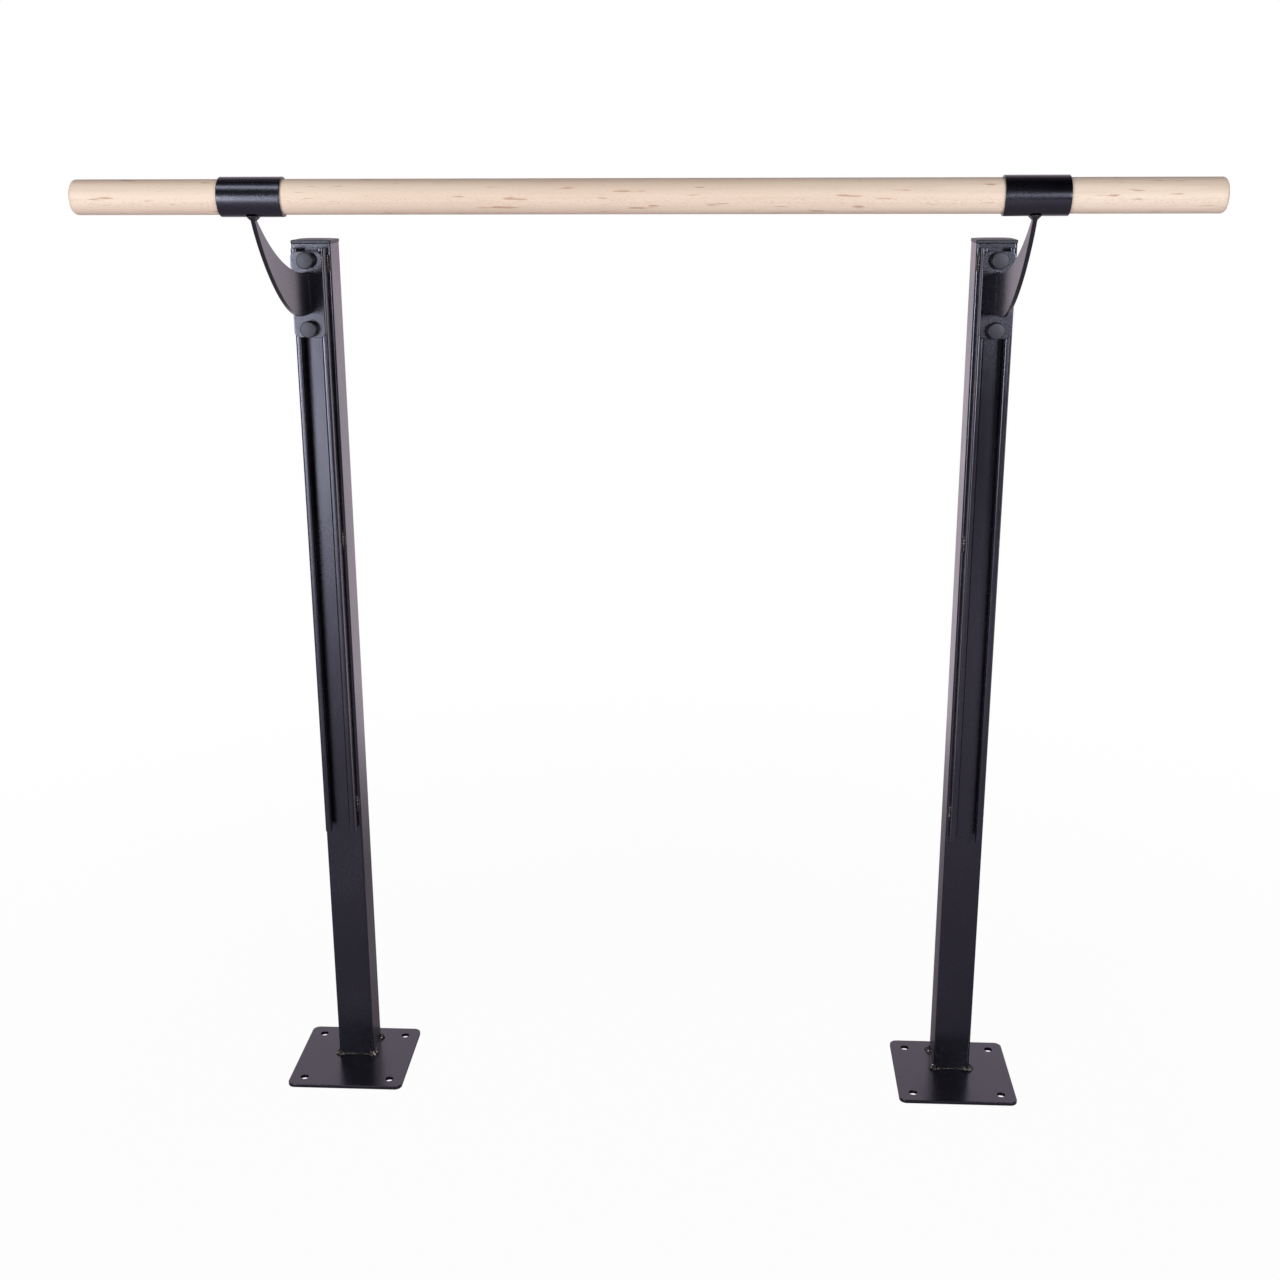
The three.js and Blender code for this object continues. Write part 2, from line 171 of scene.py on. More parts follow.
def grid_faces(rows, columns, closed_rows=False, closed_columns=True):
    """Corner numbers of each four-sided face between neighbouring rows and columns."""
    row = np.arange(rows if closed_rows else rows - 1)
    column = np.arange(columns if closed_columns else columns - 1)
    row, column = np.meshgrid(row, column, indexing="ij")
    next_row, next_column = (row + 1) % rows, (column + 1) % columns
    corners = [row * columns + column, next_row * columns + column,
               next_row * columns + next_column, row * columns + next_column]
    return np.stack(corners, -1).reshape(-1, 4)


def new_piece(name, points, faces, crease=40.0):
    """A mesh object from points in metres. Edges sharper than `crease` degrees stay crisp. The
    Weighted Normal modifier that stand_for adds later lets large faces keep their flat shading
    beside small ones."""
    mesh = bpy.data.meshes.new(name)
    mesh.from_pydata(np.asarray(points).reshape(-1, 3).tolist(), [], faces.tolist())
    shape = bmesh.new()
    shape.from_mesh(mesh)
    bmesh.ops.remove_doubles(shape, verts=shape.verts, dist=2e-6)
    bmesh.ops.recalc_face_normals(shape, faces=shape.faces)
    shape.to_mesh(mesh)
    shape.free()
    mesh.shade_smooth()
    mesh.set_sharp_from_angle(angle=np.radians(crease))
    piece = bpy.data.objects.new(name, mesh)
    bpy.context.scene.collection.objects.link(piece)
    return piece


def ease_edges(piece, width):
    """A small Bevel along every edge that turns by more than 50 degrees."""
    bevel = piece.modifiers.new("eased edges", "BEVEL")
    bevel.width = width
    bevel.segments = 2
    bevel.limit_method = "ANGLE"
    bevel.angle_limit = np.radians(50)
    return piece


def stand_for(piece, node, finish):
    """The piece takes a frame node's place: its finish and its body. Its
    Weighted Normal comes last, after any modifier that adds faces."""
    piece.data.materials.append(finish)
    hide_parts(node)
    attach(piece, body_holding[node])
    shading = piece.modifiers.new("even shading", "WEIGHTED_NORMAL")
    shading.keep_sharp = True
    return piece


def on_both_posts(make, node, finish):
    """Makes a piece for the left and the right post, each standing for its own frame node."""
    for side in SIDES:
        piece = stand_for(make(side), f"{node}_{side}", finish)
        print(piece.name, len(piece.data.polygons), "faces")


def measured(node):
    """Lowest corner, highest corner and centre of a frame node, as arrays in metres."""
    low, high = (np.array(corner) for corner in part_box(node))
    return low, high, (low + high) / 2


print("a 3 by 4 grid has", len(grid_faces(3, 4)), "faces round a tube")

# %% [markdown]
# ## Outlines
# Sections of tube, plates and caps are all squares or rectangles with round corners. A Bevel
# modifier could round a cube, but an outline worked out once serves as the section of a tube,
# the edge of a plate and the path of a weld alike.

# %% Arcs and round-cornered outlines
def arc(centre, radius, start, end, steps=7):
    """Centre plus radius times (cos, sin), for angles spread evenly from start to end."""
    angle = np.radians(np.linspace(start, end, steps))
    return np.stack([centre[0] + radius * np.cos(angle), centre[1] + radius * np.sin(angle)], -1)


def rounded_rectangle(half_width, half_height, corner, steps=7):
    """Four quarter circles, each centred one corner radius in from the two sides it joins."""
    x, y = half_width - corner, half_height - corner
    centres = [(x, y), (-x, y), (-x, -y), (x, -y)]
    quarters = [arc(c, corner, 90 * k, 90 * k + 90, steps) for k, c in enumerate(centres)]
    return np.concatenate(quarters)


def stacked(sections, heights, centre=(0.0, 0.0)):
    """Grid of points whose rows are flat outlines, each lifted to its own height."""
    rows = [np.column_stack([s + np.asarray(centre), np.full(len(s), z)])
            for s, z in zip(sections, heights)]
    return np.stack(rows)


def turned(profile, centre, axis, sides=96):
    """Surface of revolution. A profile point is (radius, distance along the axis); it is swung
    round by (cos, sin) of an angle that runs over a full turn in `sides` even steps. The
    radius may also be an array over the angles, for a shape that isn't quite round."""
    angle = np.linspace(0, 2 * np.pi, sides, endpoint=False)
    radius = np.stack([np.broadcast_to(np.asarray(r, float), sides) for r, _ in profile])
    along = np.array([[a] for _, a in profile]) + np.zeros(sides)
    across, up = radius * np.cos(angle), radius * np.sin(angle)
    order = {"x": (along, across, up), "y": (across, along, up)}[axis]
    return np.stack(order, -1) + np.asarray(centre)


print("a rounded square has", len(rounded_rectangle(25, 25, 3)), "points")

# %% [markdown]
# ## Black powder coat
# All the steel is powder coated: dry powder is sprayed on and baked, and it melts into a tough
# satin skin. Seen close, the skin has two textures. The melt leaves broad shallow waves, like
# orange peel, and a fine pebble whose bumps make the black sparkle softly. On the pebble's peaks
# the base colour is also painted a little lighter, as painted glints. Otherwise the base colour
# stays nearly black. What the eye reads as grey is gloss: the faces turned to a light, and those
# seen at a grazing angle, mirror the pale room.

# %% The finish of the steel
def new_finish(name):
    """A material with a Principled shader, and the object's own coordinates to paint by."""
    material = bpy.data.materials.new(name)
    material.use_nodes = True
    nodes = Nodes(material.node_tree)
    shader = nodes.add("BsdfPrincipled")
    nodes.add("OutputMaterial", {"Surface": shader.outputs[0]})
    where = nodes.add("TexCoord").outputs["Object"]
    return material, nodes, shader, where


def dress(nodes, shader, colour, roughness, heights, depth):
    """Joins colour and roughness to the shader, and tilts its shading as if the surface rose
    and fell by `depth` metres."""
    relief = nodes.add("Bump", {"Height": heights, "Distance": depth, "Strength": 1.0})
    sockets = [shader.inputs[name] for name in ("Base Color", "Roughness", "Normal")]
    nodes.fill(sockets, (colour, roughness, relief.outputs["Normal"]))


COAT_TONES = [(0.35, (0.0010, 0.0009, 0.0014)), (0.65, (0.0019, 0.0016, 0.0026))]
# Colour of the painted glints: lighter specks on the pebble's peaks.
COAT_PAINTED_GLINT = (0.0042, 0.0037, 0.0056, 1.0)
COAT_RELIEF = 0.028 * MM


def powder_coat():
    material, nodes, shader, where = new_finish("black powder coat")
    pebble = nodes.noise(where, 800.0, 3.0, 0.6)
    waves = nodes.noise(where, 210.0, 1.0)
    clouds = nodes.noise(where, 9.0, 4.0)
    colour = nodes.ramp(clouds, COAT_TONES)
    # Painted glints: the base colour turns a little lighter on the pebble's peaks.
    painted_glint = nodes.spread(pebble, 0.0, 0.5, 0.54, 0.72)
    colour = nodes.blend(painted_glint, colour, COAT_PAINTED_GLINT)
    gloss = nodes.spread(nodes.math("ADD", clouds, pebble), 0.18, 0.30, 0.75, 1.25)
    relief = nodes.math("ADD", nodes.math("MULTIPLY", waves, 0.4), pebble)
    dress(nodes, shader, colour, gloss, relief, COAT_RELIEF)
    shader.inputs["IOR"].default_value = 1.66
    shader.inputs["Specular Tint"].default_value = (0.80, 0.80, 1.0, 1.0)
    return material


coat = powder_coat()
print("made", coat.name)

# %% [markdown]
# ## Beech
# The handrail is a dowel of steamed beech. Wood is a solid pattern, so the finish is worked out
# in space rather than wrapped on: growth rings are thin shells round a pith that lies beside
# the rail, and they show as long soft streaks along it and as arcs on its sawn ends. Beech is
# known by its rays: thin upright plates of cells that run out from the pith. Where the
# surface cuts across them they are short brown dashes, crowded into one long row a little
# below the rail's middle and sparse elsewhere. Here and there a darker brown fleck stands
# alone.

# %% The finish of the handrail
PITH_ASIDE = (0.0, 0.055, -0.028)
RING_SPACING = 2.6 * MM
RAY_LENGTH, RAY_DEPTH, RAY_WIDTH = 5.5 * MM, 3.2 * MM, 0.75 * MM
PITH_DISTANCE = 0.05      # about, from the rail's skin
ROW_DROP = 5 * MM         # the row of dashes lies this far below the rail's middle
BEECH_TONES = [(0.28, (0.510, 0.390, 0.298)), (0.5, (0.560, 0.442, 0.343)),
               (0.74, (0.605, 0.492, 0.388))]
LATE_WOOD = (0.42, 0.295, 0.215, 1.0)
STREAK_BROWN = (0.46, 0.33, 0.25, 1.0)
RAY_BROWN = (0.36, 0.225, 0.14, 1.0)
FLECK_BROWN = (0.31, 0.17, 0.10, 1.0)


def beech():
    material, nodes, shader, where = new_finish("beech")
    _, _, middle = measured("handrail")
    pith = middle + np.array(PITH_ASIDE)
    wander = nodes.noise(nodes.stretched(where, (1.1, 6.0, 6.0)), 1.0, 2.0)
    place = nodes.add("SeparateXYZ", {"Vector": where})
    aside = nodes.math("SUBTRACT", place.outputs["Y"], float(pith[1]))
    above = nodes.math("SUBTRACT", place.outputs["Z"], float(pith[2]))
    squares = [nodes.math("MULTIPLY", part, part) for part in (aside, above)]
    radius = nodes.math("SQRT", nodes.math("ADD", *squares))
    radius = nodes.math("ADD", radius, nodes.math("MULTIPLY", wander, 9.0 * MM))
    turn = nodes.math("ARCTAN2", above, aside)

    ring = nodes.math("FRACT", nodes.math("DIVIDE", radius, RING_SPACING))
    late = nodes.spread(ring, 0.0, 1.0, 0.55, 0.97)
    streaks = nodes.noise(nodes.stretched(where, (3.0, 190.0, 190.0)), 1.0, 4.0, 0.6)
    broad = nodes.noise(nodes.stretched(where, (2.2, 34.0, 34.0)), 1.0, 3.0)

    polar = nodes.add("CombineXYZ", {
        "X": nodes.math("MULTIPLY", place.outputs["X"], 1 / RAY_LENGTH),
        "Y": nodes.math("MULTIPLY", radius, 1 / RAY_DEPTH),
        "Z": nodes.math("MULTIPLY", turn, PITH_DISTANCE / RAY_WIDTH),
    }).outputs["Vector"]
    cells = nodes.add("TexVoronoi", {"Vector": polar, "Scale": 1.0, "Randomness": 0.9},
                      feature="F1").outputs["Distance"]
    rays = nodes.spread(cells, 1.0, 0.0, 0.20, 0.42)
    fine = nodes.noise(polar, 1.7, 2.0)
    row_height = float(pith[2] - middle[2]) + ROW_DROP
    beside = nodes.math("ABSOLUTE", nodes.math("ADD", above, row_height))
    rays = nodes.math("MULTIPLY", rays, nodes.spread(beside, 1.0, 0.35, 2.5 * MM, 5.5 * MM))
    rays = nodes.math("MULTIPLY", rays, nodes.spread(fine, 0.25, 1.0, 0.35, 0.62))
    fleck = nodes.noise(nodes.stretched(where, (30.0, 240.0, 240.0)), 1.0, 1.0)
    fleck = nodes.spread(fleck, 0.0, 0.75, 0.68, 0.76)

    colour = nodes.ramp(broad, BEECH_TONES)
    colour = nodes.blend(nodes.math("MULTIPLY", late, 0.16), colour, LATE_WOOD)
    colour = nodes.blend(nodes.spread(streaks, 0.0, 0.22, 0.45, 0.80), colour, STREAK_BROWN)
    colour = nodes.blend(nodes.math("MULTIPLY", rays, 0.55), colour, RAY_BROWN)
    colour = nodes.blend(fleck, colour, FLECK_BROWN)
    sheen = nodes.spread(streaks, 0.54, 0.68, 0.3, 0.7)
    relief = nodes.math("SUBTRACT", streaks, nodes.math("MULTIPLY", rays, 0.5))
    dress(nodes, shader, colour, sheen, relief, 0.05 * MM)
    shader.inputs["IOR"].default_value = 1.45
    return material


beech_wood = beech()
print("made", beech_wood.name)

# %% [markdown]
# ## Moulded plastic, zinc and weld metal
# The caps are moulded in a spark-eroded tool, which leaves an even matt grain. The bolts, nuts
# and washers are zinc plated: a metal whose crystals blur the reflections unevenly. The welds
# are coated with the posts, but over rough metal: they shine on every ripple, and here and
# there burnt flux shows brown.

# %% The finishes of caps, fastenings and welds
def black_plastic():
    material, nodes, shader, where = new_finish("matt black plastic")
    grain = nodes.noise(where, 2600.0, 2.0)
    clouds = nodes.noise(where, 60.0, 2.0)
    tones = [(0.3, (0.0060, 0.0056, 0.0070)), (0.7, (0.0085, 0.0080, 0.0100))]
    colour = nodes.ramp(clouds, tones)
    dress(nodes, shader, colour, nodes.spread(grain, 0.40, 0.50), grain, 0.02 * MM)
    shader.inputs["Specular Tint"].default_value = (0.84, 0.86, 1.0, 1.0)
    return material


def zinc_plate():
    material, nodes, shader, where = new_finish("zinc plate")
    crystals = nodes.noise(where, 700.0, 5.0, 0.7)
    clouds = nodes.noise(where, 120.0, 3.0)
    colour = nodes.ramp(clouds, [(0.3, (0.50, 0.51, 0.52)), (0.7, (0.64, 0.65, 0.65))])
    dress(nodes, shader, colour, nodes.spread(crystals, 0.24, 0.44), crystals, 0.02 * MM)
    shader.inputs["Metallic"].default_value = 1.0
    return material


FLUX_BROWN = (0.150, 0.105, 0.080, 1.0)


def weld_metal(name, burnt):
    """Coated weld; `burnt` is how strongly the brown spots show."""
    material, nodes, shader, where = new_finish(name)
    spatter = nodes.noise(where, 420.0, 4.0, 0.6)
    burn = nodes.noise(where, 260.0, 2.0)
    colour = nodes.ramp(spatter, [(0.4, (0.006, 0.0055, 0.007)), (0.7, (0.014, 0.013, 0.015))])
    colour = nodes.blend(nodes.spread(burn, 0.0, burnt, 0.52, 0.66), colour, FLUX_BROWN)
    gloss = nodes.spread(spatter, 0.16, 0.36, 0.3, 0.7)
    dress(nodes, shader, colour, gloss, spatter, 0.25 * MM)
    return material


plastic = black_plastic()
zinc = zinc_plate()
weld = weld_metal("coated weld", 0.1)
burnt_weld = weld_metal("burnt weld", 0.9)
print("made", plastic.name, zinc.name, weld.name, burnt_weld.name)

# %% [markdown]
# ## The handrail
# A dowel is turned from square stock, so it is a surface of revolution. Its ends are rounded
# with a quarter circle, softly enough for a hand, and the sawn face stays flat.

# %% Handrail
RAIL_ROUNDING = 5 * MM


def handrail():
    """The profile runs from the axis over one rounded end, along the rail and back to the axis."""
    low, high, middle = measured("handrail")
    radius = (high[2] - low[2]) / 2
    reach = (high[0] - low[0]) / 2
    inner, shoulder = radius - RAIL_ROUNDING, reach - RAIL_ROUNDING
    end = arc((inner, shoulder), RAIL_ROUNDING, 90, 0, 9)
    half = [(0.0, reach), (inner * 0.96, reach), *end, (radius, shoulder - RAIL_ROUNDING)]
    other = [(r, -a) for r, a in reversed(half)]
    points = turned(half + other, middle, "x", 128)
    return new_piece("beech_handrail", points, grid_faces(*points.shape[:2]))


rail = stand_for(handrail(), "handrail", beech_wood)
print("handrail:", len(rail.data.polygons), "faces")

# %% [markdown]
# ## Posts, caps and base plates
# The post is drawn square tube with a seam inside that nobody sees. One closed grid makes it:
# up the outside, over the sawn top, down the inside and back. The cap is the same outline
# again, drawn in and lifted to a low crown, with its spigot reaching down into the tube.

# %% Posts
TUBE_WALL = 2 * MM
TUBE_CORNER = 3 * MM
SAWN_BURR = 0.2 * MM      # taken off the tube's inner rim


def post(side):
    """Rows are the tube's outline at one height, drawn in by an inset. Outside and inside
    are joined at both ends, so the grid closes in both directions."""
    low, high, middle = measured(f"post_{side}")
    half = (high[0] - low[0]) / 2
    ease = 0.7 * MM
    rim = arc((ease, high[2] - ease), ease, 180, 90, 5)
    steps = [(0, low[2]), *rim, (TUBE_WALL - SAWN_BURR, high[2]),
             (TUBE_WALL, high[2] - SAWN_BURR), (TUBE_WALL, low[2])]
    outlines = [rounded_rectangle(half - inset, half - inset, max(TUBE_CORNER - inset, 1 * MM), 9)
                for inset, _ in steps]
    points = stacked(outlines, [z for _, z in steps], middle[:2])
    faces = grid_faces(*points.shape[:2], closed_rows=True)
    return new_piece(f"steel_post_{side}", points, faces)


on_both_posts(post, "post", coat)

# %% Post caps
CAP_HEAD = 4 * MM
CAP_EDGE = 0.9 * MM
CAP_UNDERCUT = 0.7 * MM
SPIGOT_WALL = 2 * MM


def post_cap(side):
    """From the middle of the crown outwards, round the rim, under the head, down the spigot
    and up its inside. The crown sinks with the square of the distance from its middle."""
    low, high, middle = measured(f"post_cap_{side}")
    tube_low, tube_high, _ = measured(f"post_{side}")
    half = (high[0] - low[0]) / 2
    rim = tube_high[2] + CAP_HEAD
    crown = high[2] - rim - 0.5 * MM
    flat = half - CAP_EDGE
    share = np.linspace(0, 1, 8)
    rows = [(flat * s, rim + crown * (1 - s * s)) for s in share]
    rows += [(flat + x, rim - CAP_EDGE + z) for x, z in arc((0, 0), CAP_EDGE, 90, 0, 6)[1:]]
    spigot = (tube_high[0] - tube_low[0]) / 2 - TUBE_WALL - 0.2 * MM
    under = tube_high[2] + 0.02 * MM
    inside = spigot - SPIGOT_WALL
    lower = arc((half - CAP_UNDERCUT, under + CAP_UNDERCUT), CAP_UNDERCUT, 0, -90, 5)
    rows += [*lower, (spigot, under), (spigot, low[2] + 1 * MM), (spigot - 0.8 * MM, low[2]),
             (inside, low[2]), (inside, under), (0.0, under)]
    outlines = [rounded_rectangle(h, h, min(TUBE_CORNER, h), 9) for h, _ in rows]
    points = stacked(outlines, [z for _, z in rows], middle[:2])
    return new_piece(f"moulded_cap_{side}", points, grid_faces(*points.shape[:2]))


on_both_posts(post_cap, "post_cap", plastic)

# %% [markdown]
# A plate with holes has no simple grid over all of it, but it has one round each hole. The
# plate is cut in thought into equal cells with one hole each. In a cell, straight lines run
# from the hole's rim to the cell's outline, and the grid follows them over the top face,
# round the plate's edge, back along the underside and up the hole's wall. One cell is worked
# out, the others are its mirror images, and merging the seams makes them one plate.

# %% Plates with round holes
def cell_outline(low, high, corner, round_low_x, spacing):
    """Outline of a cell that owns the plate's upper x and upper y edge, and its lower x edge
    too if round_low_x. Gives points, outward directions and which points lie on the
    plate's own edge. Straight runs are divided about every `spacing`."""
    def run(start, end, normal, owned):
        start, end = np.array(start), np.array(end)
        count = max(2, int(np.ceil(np.linalg.norm(end - start) / spacing)))
        share = np.linspace(0, 1, count, endpoint=False)[:, None]
        return start + (end - start) * share, np.tile(normal, (count, 1)), np.full(count, owned)

    def bend(centre, start):
        points = arc(centre, corner, start, start + 90, 9)[:-1]
        return points, (points - np.asarray(centre)) / corner, np.full(len(points), True)

    (x0, y0), (x1, y1) = low, high
    top_left = x0 + corner if round_low_x else x0
    parts = [run((x1, y0), (x1, y1 - corner), (1.0, 0.0), True),
             bend((x1 - corner, y1 - corner), 0),
             run((x1 - corner, y1), (top_left, y1), (0.0, 1.0), True)]
    if round_low_x:
        parts += [bend((x0 + corner, y1 - corner), 90),
                  run((x0, y1 - corner), (x0, y0), (-1.0, 0.0), True)]
    else:
        parts += [run((x0, y1), (x0, y0), (0.0, 0.0), False)]
    parts += [run((x0, y0), (x1, y0), (0.0, 0.0), False)]
    points, normals, owned = (np.concatenate(column) for column in zip(*parts))
    # The corner where an owned edge begins or ends belongs to that edge.
    starts = np.flatnonzero(owned & ~np.roll(owned, -1))
    after = (starts + 1) % len(points)
    normals[after], owned[after] = normals[starts], True
    return points, normals, owned


def plate_cell(outline, hole, hole_radius, thickness, edge):
    """Closed grid round one hole. Its rows go from the hole's rim over the top face to the
    outline, round the eased edge, back below and up the hole's wall. Heights run from 0 at
    the top face to minus the thickness. Faces between points that lie inside the plate are
    left out of the edge, so that neighbouring cells can grow together there."""
    points, normals, owned = outline
    away = points - hole
    away /= np.linalg.norm(away, axis=1, keepdims=True)
    rim = hole + away * hole_radius
    bends = [(edge * (1 - np.sin(a)), edge * (1 - np.cos(a))) for a in np.linspace(0, np.pi / 2, 4)]
    inner = [(rim + away * inset, -drop) for inset, drop in reversed(bends)]
    outer = [(points - normals * inset, -drop) for inset, drop in bends]
    near = [(rim + away * 2.5 * edge, 0.0), (points - normals * 2.5 * edge, 0.0)]
    top = inner + near + outer
    below = [(flat, -thickness - height) for flat, height in reversed(top)]
    rows = top + below
    grid = np.stack([np.column_stack([flat, np.full(len(flat), z)]) for flat, z in rows])
    faces = grid_faces(len(rows), len(points), closed_rows=True)
    row, column = faces[:, 0] // len(points), faces[:, 0] % len(points)
    first = len(inner) + len(near)
    on_edge = (row >= first) & (row < len(rows) - first - 1)
    inside = ~(owned[column] & owned[(column + 1) % len(points)])
    return grid.reshape(-1, 3), faces[~(on_edge & inside)]


def mirrored(points, faces, axes):
    """The grid and its mirror images across the given axes, as one set of points and faces."""
    for axis in axes:
        image = points.copy()
        image[:, axis] *= -1
        faces = np.concatenate([faces, faces[:, ::-1] + len(points)])
        points = np.concatenate([points, image])
    return points, faces


print("cells are mirrored with their faces reversed, so they still point outwards")

# %% Base plates
BASE_CORNER = 10 * MM
ANCHOR_PITCH = 120 * MM
ANCHOR_RADIUS = 5.5 * MM
PLATE_EDGE = 0.6 * MM


def base_plate(side):
    """One quarter of the square plate with its anchor hole, mirrored across both axes."""
    low, high, middle = measured(f"base_plate_{side}")
    half = (high[0] - low[0]) / 2
    thickness = high[2] - low[2]
    outline = cell_outline((0.0, 0.0), (half, half), BASE_CORNER, False, 5 * MM)
    hole = np.array([ANCHOR_PITCH / 2, ANCHOR_PITCH / 2])
    points, faces = plate_cell(outline, hole, ANCHOR_RADIUS, thickness, PLATE_EDGE)
    points, faces = mirrored(points, faces, (0, 1))
    points = points + np.array([middle[0], middle[1], high[2]])
    return new_piece(f"floor_plate_{side}", points, faces)


on_both_posts(base_plate, "base_plate", coat)

# %% [markdown]
# ## The tracks
# The track is a strip of sheet, rolled into a channel whose lips turn back inside. Rolling
# keeps the sheet's thickness, so the honest way is the maker's way: a line down the middle of
# the sheet, carried up the post, and a Solidify modifier for the thickness. Bevel eases the
# sawn ends.

# %% Tracks
TRACK_WALL = 2.5 * MM
TRACK_CORNER = 2.8 * MM
TRACK_SLOT = 25 * MM
TRACK_LIP = 7.5 * MM
SAWN_EASE = 0.3 * MM


def track(side):
    """Half the section is four quarter turns' worth of arcs about centres one corner radius
    in from the outside; the other half is its mirror image. Rows are two heights."""
    low, high, middle = measured(f"track_{side}")
    half = (high[0] - low[0]) / 2
    front, back = low[1], high[1]
    bend = TRACK_CORNER - TRACK_WALL / 2
    side_in, lip_in = half - TRACK_CORNER, TRACK_SLOT / 2 + TRACK_CORNER
    right = np.concatenate([
        arc((side_in, back - TRACK_CORNER), bend, 90, 0, 6),
        arc((side_in, front + TRACK_CORNER), bend, 0, -90, 6),
        arc((lip_in, front + TRACK_CORNER), bend, -90, -180, 6),
        [[TRACK_SLOT / 2 + TRACK_WALL / 2, front + TRACK_LIP]],
    ])
    left = right[::-1] * [-1, 1]
    line = np.concatenate([left, right]) + [middle[0], 0]
    points = stacked([line, line], [low[2], high[2]])
    piece = new_piece(f"rolled_track_{side}", points, grid_faces(2, len(line), closed_columns=False))
    sheet = piece.modifiers.new("sheet thickness", "SOLIDIFY")
    sheet.thickness = TRACK_WALL
    sheet.offset = 0.0
    sheet.use_even_offset = True
    return ease_edges(piece, SAWN_EASE)


on_both_posts(track, "track", coat)

# %% [markdown]
# ## The brackets
# Each bracket is a flat clamp plate, an arm like a horn standing on edge, and a collar. The arm
# is cut from plate: its lower edge is a long swelling curve and its upper edge a plain
# arc, and both end under the collar. It is lofted here: a section with eased corners is
# stretched between the two edges, from the foot to the tip.

# %% Clamp plates
CLAMP_CORNER = 7 * MM
CLAMP_HOLE = 5.5 * MM
BOLT_PITCH = 84 * MM


def clamp_plate(side):
    """The upper half of the plate round its bolt hole, mirrored downwards, then stood up: the
    top face of the grid looks forwards, towards -Y."""
    low, high, middle = measured(f"bracket_plate_{side}")
    half = (high - low) / 2
    outline = cell_outline((-half[0], 0.0), (half[0], half[2]), CLAMP_CORNER, True, 4 * MM)
    hole = np.array([0.0, BOLT_PITCH / 2])
    points, faces = plate_cell(outline, hole, CLAMP_HOLE, 2 * half[1], PLATE_EDGE)
    points, faces = mirrored(points, faces, (1,))
    upright = np.stack([points[:, 0], -points[:, 2], points[:, 1]], -1)
    return new_piece(f"clamp_plate_{side}", upright + [middle[0], low[1], middle[2]], faces)


on_both_posts(clamp_plate, "bracket_plate", coat)

# %% Arms
ARM_FLAT = (31 * MM, 2 * MM)      # straight run of the lower and the upper edge
ARM_SWELL = (78 * MM, 31 * MM, 72 * MM)   # handles of the lower edge's curve
ARM_ARCH = 360 * MM       # radius of the upper edge
ARM_FOOT = 51 * MM
ARM_TIP = 15 * MM


def bezier(p0, p1, p2, p3, steps):
    """Cubic Bezier: the four points weighted by the terms of ((1 - t) + t) cubed."""
    t = np.linspace(0, 1, steps)
    weights = [(1 - t) ** 3, 3 * (1 - t) ** 2 * t, 3 * (1 - t) * t ** 2, t ** 3]
    return np.stack(weights, -1) @ np.array([p0, p1, p2, p3])


def evenly(line, count):
    """The same line with `count` points at equal distances along it."""
    travelled = np.concatenate([[0], np.cumsum(np.linalg.norm(np.diff(line, axis=0), axis=1))])
    wanted = np.linspace(0, travelled[-1], count)
    return np.stack([np.interp(wanted, travelled, line[:, k]) for k in (0, 1)], -1)


def arm_edges(side, count):
    """Lower and upper edge as (distance ahead of the clamp plate, height)."""
    low, high, _ = measured(f"bracket_arm_{side}")
    plate_low, _, _ = measured(f"bracket_plate_{side}")
    reach = plate_low[1] - measured("handrail")[2][1]
    foot, tip = low[2], high[2]
    shoulder = foot + ARM_FOOT
    front = reach + ARM_TIP / 2
    flat_below, flat_above = ARM_FLAT
    ahead, back, up = ARM_SWELL
    swell = bezier((flat_below, foot), (flat_below + ahead, foot),
                   (front - back, foot + up), (front, tip), 80)
    lower = np.concatenate([[[0.0, foot]], swell])
    end = np.degrees(np.arccos((ARM_ARCH - (tip - shoulder)) / ARM_ARCH))
    arch = arc((flat_above, shoulder + ARM_ARCH), ARM_ARCH, -90, end - 90, 60)
    upper = np.concatenate([[[0.0, shoulder]], arch])
    return evenly(lower, count), evenly(upper, count)


def arm(side):
    """Rows are stations from foot to tip. Each is a thin rectangle with eased corners whose
    long side spans from the lower edge to the upper one; the ends close on their middles."""
    low, high, middle = measured(f"bracket_arm_{side}")
    plate_front = measured(f"bracket_plate_{side}")[0][1]
    half_thick = (high[0] - low[0]) / 2
    lower, upper = arm_edges(side, 90)
    centre, span = (lower + upper) / 2, upper - lower
    half_span = np.linalg.norm(span, axis=1) / 2
    along = span / (2 * half_span[:, None])
    unit = rounded_rectangle(half_thick, 1.0, 0.55 * MM, 4)
    ease = unit[:, 1] - np.sign(unit[:, 1])
    stretch = np.sign(unit[:, 1]) * half_span[:, None] + ease
    flat = centre[:, None, :] + stretch[..., None] * along[:, None, :]
    across = np.broadcast_to(unit[:, 0], flat.shape[:2])
    points = np.stack([middle[0] + across, plate_front - flat[..., 0], flat[..., 1]], -1)
    ends = [np.broadcast_to(points[k].mean(0), points[k].shape) for k in (0, -1)]
    points = np.concatenate([ends[0][None], points, ends[1][None]])
    return new_piece(f"horn_arm_{side}", points, grid_faces(*points.shape[:2]))


on_both_posts(arm, "bracket_arm", coat)

# %% Collars
COLLAR_EDGE = 0.7 * MM
COLLAR_GAP = 0.3 * MM
BORE_EDGE = 0.4 * MM


